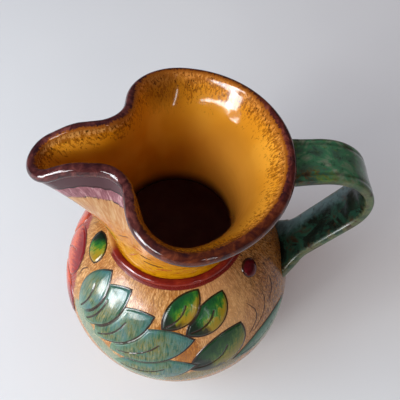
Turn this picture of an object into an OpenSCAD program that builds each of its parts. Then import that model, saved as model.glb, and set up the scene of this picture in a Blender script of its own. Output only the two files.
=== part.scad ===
// Glazed earthenware pouring jug: a round thrown belly on a turned foot, a flared
// neck drawn out into a pinched spout, a rolled rim, a pulled strap handle, and leaves,
// petals and berries laid on the belly in thick coloured slip.
// Millimetres, +Z up. The belly's axis is Z, the jug stands on Z = 0,
// the handle is on +X and the spout on -X.

/* [Belly] */
// Outside radius of the round belly
belly_r = 75; // [68:1:90]
// Wall thickness of the belly
belly_wall = 4; // [3:0.5:6]
// Thickness of the floor inside the belly
floor_t = 6; // [4:0.5:10]
// Radius of the flat underside that the foot is turned on
base_r = 43.5; // [38:0.5:50]

/* [Foot] */
// Height of the foot ring
foot_h = 5; // [3:0.5:9]
// Width of the foot ring where it stands
foot_w = 7; // [4:0.5:12]
// Step from the edge of the flat underside in to the foot ring
foot_inset = 2.5; // [1:0.5:5]

/* [Neck] */
// Radius of the throat, where the neck opens into the belly
throat_r = 32.8; // [28:0.2:37]
// Wall thickness at the foot of the neck
neck_wall = 4.8; // [4:0.2:6]
// Wall thickness of the neck under the rim
lip_wall = 4.4; // [3.4:0.2:5.4]
// Height of the plain collar at the foot of the neck, before the mouth flares
collar_h = 5; // [3:1:16]
// Height of the rim above the neck's joint with the belly
neck_h = 71; // [60:1:85]
// How sharply the neck flares to the mouth: 1 is a straight cone
flare_power = 2.3; // [1.6:0.1:3]
// How sharply the neck runs out into the spout
spout_power = 1.25; // [1.1:0.05:1.6]
// Radius of the bead over the joint of neck and belly
bead_r = 2.8; // [2:0.1:4]

/* [Mouth and spout] */
// Radius of the round part of the mouth, to the middle of the wall
mouth_r = 57; // [52:0.2:62]
// How far the mouth's centre is set back from the axis, towards the handle
mouth_setback = 1; // [0:0.5:4]
// Radius of the two lobes beside the spout
lobe_r = 25.5; // [20:0.5:30]
// Distance from the axis to the pinch behind the spout
pinch_x = 19.5; // [17:0.5:23]
// Radius of the hollow curve from the pinch to the spout
pinch_r = 17.5; // [13:0.5:20]
// Slant of the pinched walls from straight across, in degrees
pinch_slant = 5.5; // [2:0.5:16]
// Radius of the spout's round tip, to the middle of the wall
tip_r = 10; // [8:0.5:12]
// How much each side of the spout opens from the tip, in degrees
spout_taper = 5; // [2:1:9]
// Distance from the axis to the tip of the spout
spout_reach = 68.5; // [63:0.5:82]
// How far the sides of the spout are drawn up above the rim
spout_lift = 10; // [0:0.5:14]
// How far the tip of the spout droops below the rim
spout_droop = 0.5; // [0:0.5:6]

/* [Rim] */
// Height of the rolled rim
rim_h = 8; // [6:0.5:11]
// How far the rolled rim stands proud of the neck's outside
rim_proud = 2; // [0.5:0.1:3]
// Lean of the lip outwards over the mouth, in degrees; the spout stays upright
lip_lean = 26; // [15:1:36]

/* [Handle] */
// Distance from the axis to the middle of the strap at its furthest
handle_reach = 107.5; // [98:0.5:118]
// Radius of the handle's bend, to the middle of the strap
bend_r = 31; // [26:1:36]
// Width of the strap where it leaves the neck
strap_w = 28.5; // [22:0.5:33]
// Width of the strap as it comes down to the belly
strap_low_w = 28; // [20:0.5:33]
// Thickness of the strap
strap_t = 7.5; // [6:0.5:10]
// Depth of the thumb channel along the outside of the strap
strap_dish = 1.3; // [0:0.1:2]
// Height above the belly's waist, in degrees, where the strap comes down
root_angle = 21; // [14:1:30]
// Length over which each end of the strap spreads
root_spread = 20; // [12:1:26]

/* [Slip decoration] */
// Height of the leaves and petals above the belly
relief_h = 0.9; // [0.5:0.1:1.5]
// Width of the line left bare round each leaf
line_w = 0.9; // [0.4:0.1:1.5]
// Radius of a berry
berry_r = 5.8; // [4:0.2:8]
// Radius of the flower's eye
eye_r = 9; // [6:0.5:12]
// Length of a petal
petal_l = 35; // [26:1:38]
// Width of a petal
petal_w = 33; // [24:1:36]

/* [Hidden] */
$fn = 96;
// Sides of the belly's circle where a small piece is cut to it
fine_circle = 720;
// One overrun serves all the cuts
overrun = 1;
// Clearance at the two ends of the handle and under the slip
seat_gap = 0.05;

// Levels
belly_z = foot_h + sqrt(belly_r ^ 2 - base_r ^ 2);
belly_in_r = belly_r - belly_wall;
seat_z = belly_z + sqrt(belly_in_r ^ 2 - throat_r ^ 2);
rim_z = seat_z + neck_h;
collar_mid_r = throat_r + neck_wall / 2;
collar_out_r = throat_r + neck_wall;

// Bead over the neck joint, as shares of its own radius out of and above the corner
bead_out_share = 0.3;
bead_up_share = 0.3;
// The collar stays plain at least as high as the bead
bead_top = (1 + bead_up_share) * bead_r;
collar_share = max(collar_h, bead_top) / (neck_h - rim_h);

// Steps along the stretches of half the rim: mouth, lobe, pinch wall, pinch, spout side, tip
rim_steps = [20, 9, 2, 7, 5, 8];
// Steps up the flared part of the neck, and over the top of the rolled rim
flare_steps = 12;
roll_steps = 10;
// Where along the half rim, from handle to tip, the spout's lift starts and is complete,
// and where the droop at the tip starts
lift_start_share = 0.40;
lift_full_share = 0.78;
droop_start_share = 0.84;
// Where the plain collar starts to give way to the pull of the spout, and where it has
pull_start_share = 0.45;
pull_full_share = 0.75;
// The stretch of the roll that is round, from under its outside to the top of its inside
roll_start = -50;
roll_end = 155;

// Handle: points round the strap, steps along its stretches, spread of its two ends
strap_points = 24;
strap_corner_share = 0.55;
top_run_steps = 6;
bend_steps = 16;
low_run_steps = 12;
top_spread_share = 1.12;
low_spread_share = 1.45;
cap_shares = [0.7, 0.4, 0.1];

// Leaves on the belly. The angle round the belly runs from the handle, 180 being the spout,
// and the drop is the angle down from the bead's edge. Each row holds angle, drop, turn from
// level, and as shares of the belly's radius the length and how far the left and right sides
// bulge from the line between base and tip. A leaf lies over those below it in the list.
bead_edge_r = collar_out_r + (1 + bead_out_share) * bead_r;
bead_angle = acos(bead_edge_r / belly_r);
front_teal_shares = [
  [211.6, 21, 82, 0.57, 0.123, 0.129],
  [223.3, 22.5, 65, 0.66, 0.165, 0.131],
  [237.2, 27.2, 47, 0.67, 0.186, 0.119],
  [253.9, 33.3, 25, 0.76, 0.21, 0.145],
  [256, 47.5, 15, 0.72, 0.16, 0.17]
];
front_green_shares = [
  [270.1, 10.3, 47, 0.433, 0.09, 0.131],
  [285.1, 14, 38, 0.453, 0.071, 0.178],
  [287.4, 35.9, 36, 0.6, 0.119, 0.25],
  [316.5, 47.6, 6, 0.72, 0.12, 0.12]
];
shoulder_leaf_shares = [[191.2, 7.4, 148, 0.269, 0.091, 0.115]];
// The sprays at the back mirror the front about the flower's own angle
flower_angle = 166;
flower_drop_angle = 47.6;
back_green_count = 3;
back_teal_shares = [for (leaf = front_teal_shares) mirrored(leaf)];
back_green_shares = [for (i = [0 : back_green_count - 1]) mirrored(front_green_shares[i])];
back_shoulder_shares = [for (leaf = shoulder_leaf_shares) mirrored(leaf)];
front_spray = concat(front_teal_shares, front_green_shares, shoulder_leaf_shares);
back_spray = concat(back_teal_shares, back_green_shares, back_shoulder_shares);
front_berry = [327, 9.1];
back_berry = [16, 8.5];
petal_count = 6;
// How far a petal starts from the eye's edge, and a berry's height, as shares of their sizes
petal_gap_share = 0.06;
berry_height_share = 0.35;

teal = "#4f8f86";
green = "#4f7f2c";
cream = "#d9a566";
ochre = "#e0a53a";
brown = "#4a2320";
wine = "#7d1f2c";
red = "#b5402f";
strap_green = "#23573f";
clay = "#b98a5e";

front_teal_names = [for (i = [1 : len(front_teal_shares)]) str("front_teal_leaf_", i)];
front_green_names = [for (i = [1 : len(front_green_shares)]) str("front_green_leaf_", i)];
back_teal_names = [for (i = [1 : len(back_teal_shares)]) str("back_teal_leaf_", i)];
back_green_names = [for (i = [1 : back_green_count]) str("back_green_leaf_", i)];
front_names = concat(front_teal_names, front_green_names, ["front_shoulder_leaf"]);
back_names = concat(back_teal_names, back_green_names, ["back_shoulder_leaf"]);
petal_names = [for (i = [1 : petal_count]) str("petal_", i)];

// Small helpers
function mirrored(leaf) =
  [2 * flower_angle - leaf[0], leaf[1], 180 - leaf[2], leaf[3], leaf[5], leaf[4]];
function ease(from, to, x) =
  let (t = min(1, max(0, (x - from) / (to - from)))) t * t * (3 - 2 * t);
function arc(center, r, from, to, steps) =
  [for (i = [0 : steps - 1]) let (a = from + (to - from) * i / steps) center + r * [cos(a), sin(a)]];
function straight(from, to, steps) = [for (i = [0 : steps - 1]) from + (to - from) * i / steps];
function running_length(points, i) = i == 0 ? 0 : norm(points[i] - points[i - 1]) + running_length(points, i - 1);
function signed_power(x, p) = sign(x) * pow(abs(x), p);
function arc_radius(chord, rise) = (chord ^ 2 / 4 + rise ^ 2) / (2 * rise);

// Half the crest of the rim in plan, from the handle round to the spout's tip: the mouth,
// a lobe inside it, the pinch wall, the hollow pinch, the spout's side and its round tip.
mouth_center = [mouth_setback, 0];
tip_center = [tip_r - spout_reach, 0];
spout_way = [cos(spout_taper), sin(spout_taper)];
spout_out = [-sin(spout_taper), cos(spout_taper)];
side_length = (spout_reach - tip_r - pinch_x - pinch_r - (tip_r + pinch_r) * spout_out.x) / spout_way.x;
side_start = tip_center + tip_r * spout_out + side_length * spout_way;
pinch_center = side_start + pinch_r * spout_out;
wall_way = [sin(pinch_slant), cos(pinch_slant)];
wall_in = [cos(pinch_slant), -sin(pinch_slant)];
wall_start = pinch_center + pinch_r * wall_in;
from_mouth = wall_start + lobe_r * wall_in - mouth_center;
lead = from_mouth * wall_way;
wall_length = sqrt(lead ^ 2 - from_mouth * from_mouth + (mouth_r - lobe_r) ^ 2) - lead;
wall_end = wall_start + wall_length * wall_way;
lobe_center = wall_end + lobe_r * wall_in;
lobe_angle = atan2(lobe_center.y, lobe_center.x - mouth_setback);
half_rim = concat(
  arc(mouth_center, mouth_r, 0, lobe_angle, rim_steps[0]),
  arc(lobe_center, lobe_r, lobe_angle, 180 - pinch_slant, rim_steps[1]),
  straight(wall_end, wall_start, rim_steps[2]),
  arc(pinch_center, pinch_r, -pinch_slant, spout_taper - 90, rim_steps[3]),
  straight(side_start, tip_center + tip_r * spout_out, rim_steps[4]),
  arc(tip_center, tip_r, 90 + spout_taper, 180, rim_steps[5]),
  [[-spout_reach, 0]]
);
half_count = len(half_rim);
half_length = running_length(half_rim, half_count - 1);
half_shares = [for (i = [0 : half_count - 1]) running_length(half_rim, i) / half_length];

// The whole rim: the half on +Y, then its mirror image back to the handle
function whole(half) = concat(half, [for (i = [half_count - 2 : -1 : 1]) [half[i].x, -half[i].y]]);
function whole_values(half) = concat(half, [for (i = [half_count - 2 : -1 : 1]) half[i]]);
rim_line = whole(half_rim);
rim_shares = whole_values(half_shares);
collar_line = whole([for (s = half_shares) collar_mid_r * [cos(180 * s), sin(180 * s)]]);
rim_heights = whole_values([
  for (s = half_shares)
    rim_z + spout_lift * ease(lift_start_share, lift_full_share, s)
      - (spout_lift + spout_droop) * ease(droop_start_share, 1, s)
]);
rim_count = len(rim_line);

// A closed line in plan moved sideways, positive outwards, by its own distance at each point
function beside(line, distances) = [
  for (i = [0 : rim_count - 1])
    let (
      along = line[(i + 1) % rim_count] - line[(i + rim_count - 1) % rim_count],
      unit = along / norm(along)
    )
    line[i] + distances[i] * [unit.y, -unit.x]
];
function even(d) = [for (s = rim_shares) d];
// How much the pull of the spout, from 0 to 1, shapes the wall at share s of the way round
function pull(s) = ease(pull_start_share, pull_full_share, s);
// The lip leans, so the wall meets the rim's foot this much inside the crest
lip_leans = [for (s = rim_shares) tan(lip_lean) * (1 - pull(s))];
lip_line = beside(rim_line, -rim_h * lip_leans);
// How far the wall has moved from the collar's circle to the lip's line, at share t of the
// way up and share s of the way round
function flare(t, s) =
  pow(max(0, t - collar_share) / (1 - collar_share), flare_power + pull(s) * (spout_power - flare_power));
function wall(t) = neck_wall + t * (lip_wall - neck_wall);
function at_height(line, heights) = [for (i = [0 : rim_count - 1]) [line[i].x, line[i].y, heights[i]]];
function level_line(t) = [
  for (i = [0 : rim_count - 1])
    let (w = flare(t, rim_shares[i]))
    (1 - w) * collar_line[i] + w * lip_line[i]
];
function level_heights(t) = [for (h = rim_heights) seat_z + t * (h - rim_h - seat_z)];
function level(t, d) = at_height(beside(level_line(t), even(d)), level_heights(t));

// Faces of a grid of rings. Rings run counter-clockwise seen from where they lead to.
function grid_faces(rings, points, wrap) = [
  for (j = [0 : rings - (wrap ? 1 : 2)], i = [0 : points - 1])
    let (
      k = (j + 1) % rings,
      n = (i + 1) % points
    )
    each [
      [j * points + i, k * points + i, k * points + n],
      [j * points + i, k * points + n, j * points + n]
    ]
];
module wrapped_rings(rings) {
  polyhedron(
    points = [for (ring = rings) each ring],
    faces = grid_faces(len(rings), len(rings[0]), true)
  );
}
module capped_rings(rings) {
  points = len(rings[0]);
  last = (len(rings) - 1) * points;
  polyhedron(
    points = [for (ring = rings) each ring],
    faces = concat(
      grid_faces(len(rings), points, false),
      [[for (i = [0 : points - 1]) i]],
      [[for (i = [points - 1 : -1 : 0]) last + i]]
    )
  );
}

// Thrown parts
module belly_outside_2d() {
  intersection() {
    translate([0, belly_z]) circle(r = belly_r);
    translate([0, foot_h]) square([belly_r, seat_z - foot_h]);
  }
}
module belly_inside_2d() {
  intersection() {
    translate([0, belly_z]) circle(r = belly_in_r);
    translate([0, foot_h + floor_t]) square([belly_r, seat_z - foot_h - floor_t + overrun]);
  }
}
module belly() {
  color(cream) rotate_extrude() difference() {
    belly_outside_2d();
    belly_inside_2d();
  }
}

module foot_ring() {
  foot_out_r = base_r - foot_inset;
  color(clay) rotate_extrude() polygon([
    [foot_out_r - foot_w, 0],
    [foot_out_r, 0],
    [base_r, foot_h],
    [foot_out_r - foot_w - foot_inset, foot_h]
  ]);
}

module neck_funnel() {
  shares = [for (j = [0 : flare_steps]) j / flare_steps];
  outer = [for (t = shares) level(t, wall(t) / 2)];
  inner = [for (t = shares) level(1 - t, -wall(1 - t) / 2)];
  color(ochre) wrapped_rings(concat(outer, inner));
}

module neck_bead() {
  color(wine) rotate_extrude() difference() {
    translate([collar_out_r + bead_out_share * bead_r, seat_z + bead_up_share * bead_r]) circle(r = bead_r);
    belly_outside_2d();
    square([collar_out_r, rim_z]);
  }
}

module rim_roll() {
  half_t = (lip_wall + rim_proud) / 2;
  foot_heights = [for (h = rim_heights) h - rim_h];
  roll = [
    for (i = [0 : roll_steps])
      let (a = roll_start + (roll_end - roll_start) * i / roll_steps)
      [rim_proud / 2 + half_t * cos(a), (1 + sin(a)) * rim_h / 2]
  ];
  color(brown) wrapped_rings(concat(
    [at_height(beside(lip_line, even(lip_wall / 2)), foot_heights)],
    [for (r = roll) at_height(beside(rim_line, even(r.x)), [for (h = foot_heights) h + r.y])],
    [at_height(beside(lip_line, even(-lip_wall / 2)), foot_heights)]
  ));
}

// Pulled strap handle: a level run out from under the rim, one round bend, and a straight
// run down to the belly. Its two ends spread and lie on the neck and on the belly.
strap_z = rim_z - rim_h - seat_gap - top_spread_share * strap_t / 2;
bend_center = [handle_reach - bend_r, strap_z - bend_r];
root = [belly_r * cos(root_angle), belly_z + belly_r * sin(root_angle)];
to_root = root - bend_center;
bend_end = atan2(to_root.y, to_root.x) + acos(bend_r / norm(to_root));
low_run = norm(root - bend_center - bend_r * [cos(bend_end), sin(bend_end)]);
low_way = [sin(bend_end), -cos(bend_end)];

// Points round the strap, as [across, outwards], for a given spread of the section
function strap_section(width, spread) = [
  for (i = [0 : strap_points - 1])
    let (
      a = 360 * i / strap_points,
      across = signed_power(cos(a), strap_corner_share),
      out = signed_power(sin(a), strap_corner_share) * strap_t / 2,
      dish = sin(a) > 0 ? strap_dish * (1 - across ^ 2) : 0
    )
    spread * [across * width / 2, out - dish]
];
function spread_at(distance, full) =
  1 + (full - 1) * pow(max(0, 1 - distance / root_spread), 2);
function strap_ring(center, angle, width, spread) = [
  for (s = strap_section(width, spread))
    [center.x + s.y * cos(angle), s.x, center.y + s.y * sin(angle)]
];
// The neck's outer face on the handle side, at a place across and up
function neck_face_x(y, z) =
  let (
    t = (z - seat_z) / (neck_h - rim_h),
    w = flare(t, 0),
    r = (1 - w) * collar_mid_r + w * (mouth_r - rim_h * tan(lip_lean)) + wall(t) / 2
  )
  w * mouth_setback + sqrt(r ^ 2 - y ^ 2);
function neck_root_ring(share) = [
  for (s = strap_section(strap_w, top_spread_share))
    let (y = share * s.x, z = strap_z + share * s.y)
    [neck_face_x(y, z) + seat_gap, y, z]
];
function belly_root_ring(share) = [
  for (s = strap_section(strap_low_w, low_spread_share))
    let (
      r = belly_r + seat_gap,
      start = root - low_run * low_way + share * s.y * [cos(bend_end), sin(bend_end)],
      p = [start.x, share * s.x, start.y - belly_z],
      way = [low_way.x, 0, low_way.y],
      ahead = -p * way,
      travel = ahead - sqrt(ahead ^ 2 - p * p + r ^ 2)
    )
    p + travel * way + [0, 0, belly_z]
];

module handle_strap() {
  top_start = neck_face_x(0, strap_z);
  top_run = bend_center.x - top_start;
  top = [for (i = [1 : top_run_steps - 1])
    let (d = top_run * i / top_run_steps)
    strap_ring([top_start + d, strap_z], 90, strap_w, spread_at(d, top_spread_share))];
  bend = [for (i = [0 : bend_steps])
    let (
      a = 90 + (bend_end - 90) * i / bend_steps,
      width = strap_w + (strap_low_w - strap_w) * ease(0, 1, i / bend_steps)
    )
    strap_ring(bend_center + bend_r * [cos(a), sin(a)], a, width, 1)];
  low = [for (i = [1 : low_run_steps - 2])
    let (d = low_run * (1 - i / low_run_steps))
    strap_ring(root - d * low_way, bend_end, strap_low_w, spread_at(d, low_spread_share))];
  color(strap_green) capped_rings(concat(
    [for (i = [len(cap_shares) - 1 : -1 : 0]) neck_root_ring(cap_shares[i])],
    [neck_root_ring(1)], top, bend, low, [belly_root_ring(1)],
    [for (share = cap_shares) belly_root_ring(share)]
  ));
}

// Slip decoration: thin raised shapes that lie on the belly
module on_belly(angle, drop, turn) {
  translate([0, 0, belly_z]) rotate([0, 0, angle]) rotate([0, drop - bead_angle, 0])
    rotate([turn, 0, 0]) rotate([90, 0, 90]) children();
}
module slip_layer() {
  translate([0, 0, belly_z]) difference() {
    sphere(r = belly_r + relief_h);
    sphere(r = belly_r);
  }
}
// A pointed oval of two arcs, lying along X, with a border of the given width round it
module oval_2d(length, left, right, border) {
  left_r = arc_radius(length, left);
  right_r = arc_radius(length, right);
  intersection() {
    translate([0, left - left_r]) circle(r = left_r + border);
    translate([0, right_r - right]) circle(r = right_r + border);
  }
}
module leaf_prism(leaf, border) {
  on_belly(leaf[0], leaf[1], leaf[2]) linear_extrude(height = belly_r + relief_h + overrun)
    oval_2d(leaf[3] * belly_r, leaf[4] * belly_r, leaf[5] * belly_r, border);
}
module leaf(spray, i) {
  color(i < len(front_teal_shares) ? teal : green) intersection() {
    slip_layer();
    difference() {
      leaf_prism(spray[i], 0);
      for (j = [0 : 1 : i - 1]) leaf_prism(spray[j], line_w);
      // The shoulder leaf, the last of a spray, lies under the petals
      if (i == len(spray) - 1) for (k = [0 : petal_count - 1]) petal_prism(k, line_w);
    }
  }
}

module petal_prism(i, border) {
  on_belly(flower_angle, flower_drop_angle, 360 * i / petal_count)
    linear_extrude(height = belly_r + relief_h + overrun)
      translate([eye_r + petal_gap_share * petal_l + petal_l / 2, 0])
        oval_2d(petal_l, petal_w / 2, petal_w / 2, border);
}
module petal(i) {
  color(red) intersection() {
    slip_layer();
    difference() {
      petal_prism(i, 0);
      petal_borders(i);
    }
  }
}
// The two flat lines that part a petal from its neighbours
module petal_borders(i) {
  for (side = [-1, 1])
    on_belly(flower_angle, flower_drop_angle, 360 * i / petal_count + side * 180 / petal_count)
      linear_extrude(height = belly_r + relief_h + overrun)
        translate([0, side > 0 ? -line_w / 2 : -petal_w])
          square([2 * petal_l, petal_w + line_w / 2]);
}
module flower_eye() {
  color(ochre) intersection() {
    slip_layer();
    on_belly(flower_angle, flower_drop_angle, 0)
      linear_extrude(height = belly_r + relief_h + overrun) circle(r = eye_r);
  }
}
module berry(place) {
  // A low dome: part of a ball that cuts the belly in a circle of the berry's radius
  dome_h = berry_height_share * berry_r;
  ball_r = (berry_r ^ 2 + dome_h ^ 2) / (2 * dome_h);
  color(wine) on_belly(place[0], place[1], 0) rotate_extrude() difference() {
    intersection() {
      translate([0, belly_r + dome_h - ball_r]) circle(r = ball_r);
      square([belly_r, 2 * belly_r]);
    }
    circle(r = belly_r, $fn = fine_circle);
  }
}

belly();
foot_ring();
neck_funnel();
neck_bead();
rim_roll();
handle_strap();
for (i = [0 : len(front_spray) - 1]) leaf(front_spray, i);
for (i = [0 : len(back_spray) - 1]) leaf(back_spray, i);
for (i = [0 : petal_count - 1]) petal(i);
flower_eye();
berry(front_berry);
berry(back_berry);
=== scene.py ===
from math import acos, asin, atan2, cos, degrees, pi, radians, sin, sqrt, tan

import bmesh
import bpy
import numpy as np
from mathutils import Matrix


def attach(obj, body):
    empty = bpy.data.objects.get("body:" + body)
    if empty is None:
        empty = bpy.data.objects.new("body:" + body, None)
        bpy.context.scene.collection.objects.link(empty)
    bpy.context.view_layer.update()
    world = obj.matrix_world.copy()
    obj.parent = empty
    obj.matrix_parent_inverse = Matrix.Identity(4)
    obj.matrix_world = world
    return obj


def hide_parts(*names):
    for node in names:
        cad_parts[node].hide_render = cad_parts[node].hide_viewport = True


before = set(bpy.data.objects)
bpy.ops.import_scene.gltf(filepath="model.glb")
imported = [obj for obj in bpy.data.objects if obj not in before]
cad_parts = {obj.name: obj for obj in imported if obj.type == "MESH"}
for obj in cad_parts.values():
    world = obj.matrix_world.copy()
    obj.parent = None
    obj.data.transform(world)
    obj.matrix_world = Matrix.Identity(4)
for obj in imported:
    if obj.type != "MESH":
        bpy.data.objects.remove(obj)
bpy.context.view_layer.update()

BODY = "root"
MM = 0.001

# Sizes of the jug in millimetres, as in the solids
BELLY_R = 75
BELLY_WALL = 4
FLOOR_T = 6
BASE_R = 43.5
FOOT_H = 5
THROAT_R = 32.8
NECK_WALL = 4.8
LIP_WALL = 4.4
COLLAR_H = 5
NECK_H = 71
FLARE_POWER = 2.3
SPOUT_POWER = 1.25
BEAD_R = 2.8
MOUTH_R = 57
MOUTH_SETBACK = 1
LOBE_R = 25.5
PINCH_X = 19.5
PINCH_R = 17.5
PINCH_SLANT = radians(5.5)
TIP_R = 10
SPOUT_TAPER = radians(5)
SPOUT_REACH = 68.5
SPOUT_LIFT = 10
SPOUT_DROOP = 0.5
RIM_H = 8
RIM_PROUD = 2
LIP_LEAN = radians(26)
HANDLE_REACH = 107.5
BEND_R = 31
STRAP_W = 28.5
STRAP_LOW_W = 28
STRAP_T = 7.5
STRAP_DISH = 1.3
ROOT_ANGLE = radians(21)
ROOT_SPREAD = 20
RELIEF_H = 0.9
LINE_W = 0.9
BERRY_R = 5.8
EYE_R = 9
PETAL_L = 35
PETAL_W = 33

# Levels and radii that follow from them
BELLY_Z = FOOT_H + sqrt(BELLY_R ** 2 - BASE_R ** 2)
BELLY_IN_R = BELLY_R - BELLY_WALL
SEAT_Z = BELLY_Z + sqrt(BELLY_IN_R ** 2 - THROAT_R ** 2)
RIM_Z = SEAT_Z + NECK_H
COLLAR_MID_R = THROAT_R + NECK_WALL / 2
COLLAR_OUT_R = THROAT_R + NECK_WALL
COLLAR_SHARE = max(COLLAR_H, 1.3 * BEAD_R) / (NECK_H - RIM_H)
BEAD_EDGE_R = COLLAR_OUT_R + 1.3 * BEAD_R
BEAD_ANGLE = degrees(acos(BEAD_EDGE_R / BELLY_R))

# Places that the glaze colours follow
BARE_COLLAR = (-BEAD_EDGE_R, 0.0, SEAT_Z)
FAR_RIM = (16.0, MOUTH_R, RIM_Z)
SMUDGE_SPOT = (-7.0, 52.0, 193.0)

# Flower and light patch: angle round, and drop from the bead
FLOWER_ANGLE, FLOWER_DROP = 166.0, 47.6
LIGHT_ANGLE, LIGHT_DROP = 301.0, 17.0

# Camera, in metres: place and three directions
CAMERA_PLACE = (0.000193, -0.16658, 0.41779)
CAMERA_RIGHT = (0.998007, -0.06134, 0.014808)
CAMERA_UP = (0.043823, 0.842582, 0.536782)
CAMERA_BACK = (-0.045403, -0.535063, 0.843591)
CAMERA_LENS = 49.5
CAMERA_SENSOR = 36.0

rng = np.random.default_rng(11)


# Helpers for shapes
def ease(start, end, x):
    t = np.clip((x - start) / (end - start), 0.0, 1.0)
    return t * t * (3 - 2 * t)


def unit(vectors):
    return vectors / np.linalg.norm(vectors, axis=-1, keepdims=True)


def direction(angle):
    return np.array([cos(angle), sin(angle)])


def polar(r, angle, z):
    """Places from radius, angle and height, over the grid that they span."""
    return np.stack(np.broadcast_arrays(r * np.cos(angle), r * np.sin(angle), z), axis=-1)


def full_turn(count):
    return np.linspace(0, 2 * pi, count, endpoint=False)


def turned(angle, axis):
    """Matrix of a turn in degrees about an axis: the one about z, rolled on for x and y."""
    c, s = direction(radians(angle))
    return np.roll([[c, -s, 0], [s, c, 0], [0, 0, 1]], "zxy".index(axis), axis=(0, 1))


def belly_axes(angle, drop, turn):
    """Axes of a decoration on the belly as columns: out, along and across."""
    return turned(angle, "z") @ turned(drop - BEAD_ANGLE, "y") @ turned(turn, "x")


def belly_spot(angle, drop):
    return tuple(BELLY_R * belly_axes(angle, drop, 0)[:, 0] + [0, 0, BELLY_Z])


WAVE_COUNT = 14
WAVE_TURN = 0.16
WAVES = rng.normal(size=(WAVE_COUNT, 3)) * WAVE_TURN
WAVE_PHASES = rng.uniform(0, 2 * pi, WAVE_COUNT)


def dents(points):
    """Soft unevenness of a hand-made wall, from 0 to 1."""
    waves = np.sin(points @ WAVES.T + WAVE_PHASES)
    return np.clip(0.5 + 0.9 * waves.mean(axis=-1), 0, 1)


def grid_faces(rows, columns, close_rows, close_columns):
    corner = np.arange(rows * columns).reshape(rows, columns)
    below, next_to = np.roll(corner, -1, axis=0), np.roll(corner, -1, axis=1)
    faces = np.stack([corner, below, np.roll(below, -1, axis=1), next_to], axis=-1)
    return faces[:rows - (not close_rows), :columns - (not close_columns)].reshape(-1, 4)


def add_object(name, data):
    thing = bpy.data.objects.new(name, data)
    bpy.context.scene.collection.objects.link(thing)
    return thing


CREASE = radians(50)


def make_piece(name, points, faces, looks, nodes=(), fields=None, closed=True, face_looks=None):
    """A mesh over points in millimetres that rides on the jug, with fields as attributes."""
    mesh = bpy.data.meshes.new(name)
    mesh.from_pydata((points * MM).reshape(-1, 3).tolist(), [], [list(map(int, f)) for f in faces])
    for field, values in (fields or {}).items():
        vector = np.ndim(values) == points.ndim
        values = np.broadcast_to(values, points.shape if vector else points.shape[:-1])
        layer = mesh.attributes.new(field, "FLOAT_VECTOR" if vector else "FLOAT", "POINT")
        layer.data.foreach_set("vector" if vector else "value", values.ravel())
    for look in looks:
        mesh.materials.append(look)
    if face_looks is not None:
        mesh.polygons.foreach_set("material_index", np.asarray(face_looks, np.int32))
    work = bmesh.new()
    work.from_mesh(mesh)
    if closed:
        bmesh.ops.recalc_face_normals(work, faces=work.faces)
    for edge in work.edges:
        edge.smooth = not (edge.is_manifold and edge.calc_face_angle() > CREASE)
    work.to_mesh(mesh)
    work.free()
    mesh.polygons.foreach_set("use_smooth", np.ones(len(mesh.polygons), bool))
    mesh.update()
    piece = add_object(name, mesh)
    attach(piece, BODY)
    if nodes:
        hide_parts(*nodes)


# Helpers for materials
COAT_ROUGHNESS = 0.06


def rgb(code):
    """Linear colour of a written hex colour."""
    values = [int(code[i:i + 2], 16) / 255 for i in (0, 2, 4)]
    return tuple(v / 12.92 if v <= 0.04045 else ((v + 0.055) / 1.055) ** 2.4 for v in values) + (1.0,)


def put(tree, value, socket):
    """Links a socket, or gives it a number or colour."""
    value = value.socket if isinstance(value, Value) else value
    if isinstance(value, bpy.types.NodeSocket):
        tree.links.new(value, socket)
    else:
        socket.default_value = value


def new_node(tree, kind, inputs, **settings):
    """A new node with its settings, and a value or link at each given input."""
    node = tree.nodes.new("ShaderNode" + kind)
    for setting, value in settings.items():
        setattr(node, setting, value)
    for socket, value in inputs.items():
        put(tree, value, node.inputs[socket])
    return node


def maths(operation):
    """A method that does one operation on a value and another."""
    def method(self, other=0.0):
        return self.look.value("Math", {0: self, 1: other}, operation=operation)
    return method


class Value:
    """A number that a material's nodes work out over the surface."""

    __add__ = maths("ADD")
    __sub__ = maths("SUBTRACT")
    __mul__ = maths("MULTIPLY")
    __abs__ = maths("ABSOLUTE")
    at_least = maths("MAXIMUM")

    def __init__(self, look, socket):
        self.look = look
        self.socket = socket

    def vary(self, noise, amount):
        """This value, wandering with a noise by about half the amount."""
        return self + (noise - 0.5) * amount

    def step(self, start, end, last=1.0, first=0.0):
        """A smooth change from first to last while this value goes from start to end."""
        inputs = {"Value": self, "From Min": start, "From Max": end, "To Min": first, "To Max": last}
        return self.look.value("MapRange", inputs, interpolation_type="SMOOTHSTEP")

    def ramp(self, places, codes):
        """Colours, written in a row, at places of this value."""
        node = new_node(self.look.tree, "ValToRGB", {0: self})
        elements = node.color_ramp.elements
        while len(elements) < len(places):
            elements.new(0.5)
        for element, place, code in zip(elements, places, codes.split()):
            element.position = place
            element.color = rgb(code)
        return node.outputs[0]


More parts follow.
